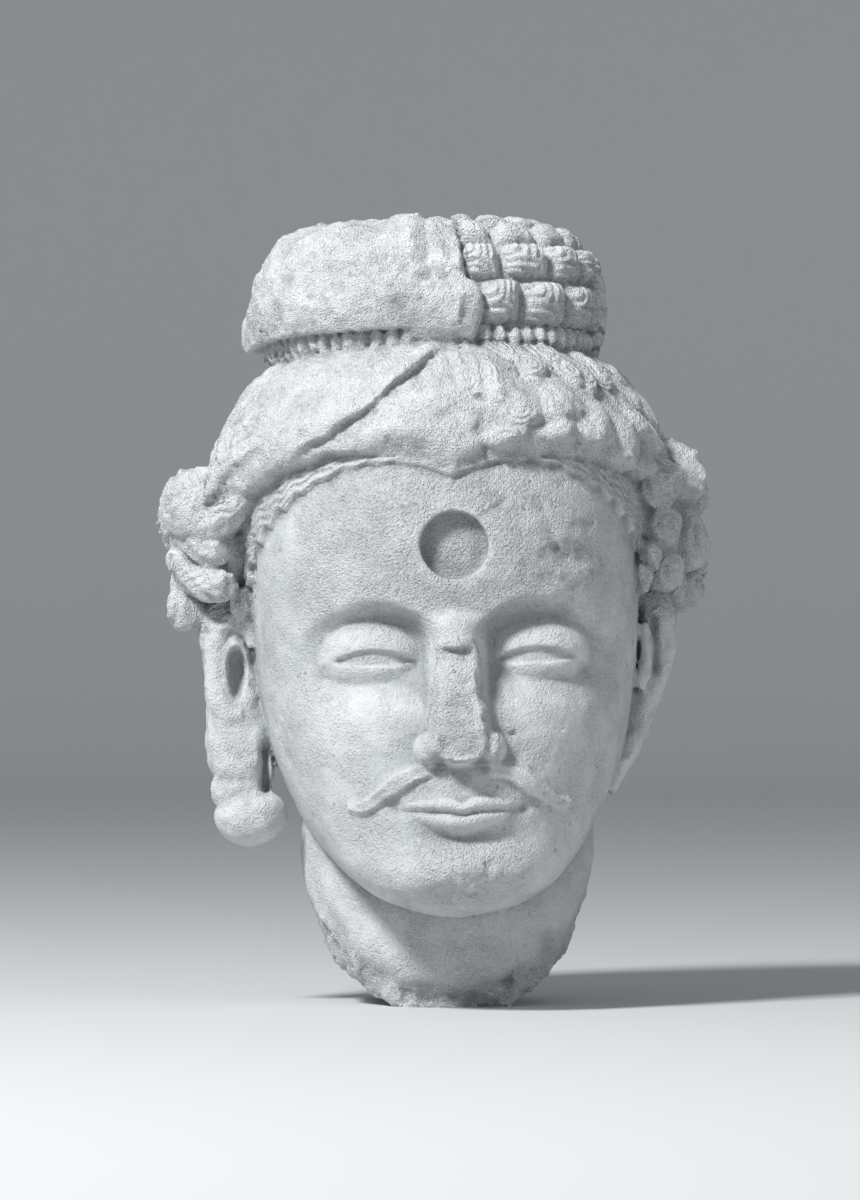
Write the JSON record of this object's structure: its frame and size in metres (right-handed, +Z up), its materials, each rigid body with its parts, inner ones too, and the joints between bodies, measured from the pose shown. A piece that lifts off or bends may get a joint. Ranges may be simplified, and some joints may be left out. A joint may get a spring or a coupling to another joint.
{
  "type": "sculpted stone head",
  "caption": "Life-size carved stone head of a bodhisattva with a topknot, snail curls and one ear ring, broken off at the neck; stands on the flat of the break.",
  "frame": {"origin": "on the flat resting patch of the broken neck, under the middle of the neck", "axes": "+Z up along the head, -Y the way the face looks, +X to the right of a viewer who faces it"},
  "size_m": [0.2213, 0.2253, 0.3154],
  "materials": {
    "stone": "matte, rough"
  },
  "bodies": {
    "root": {"head": "stone"}
  },
  "joints": []
}
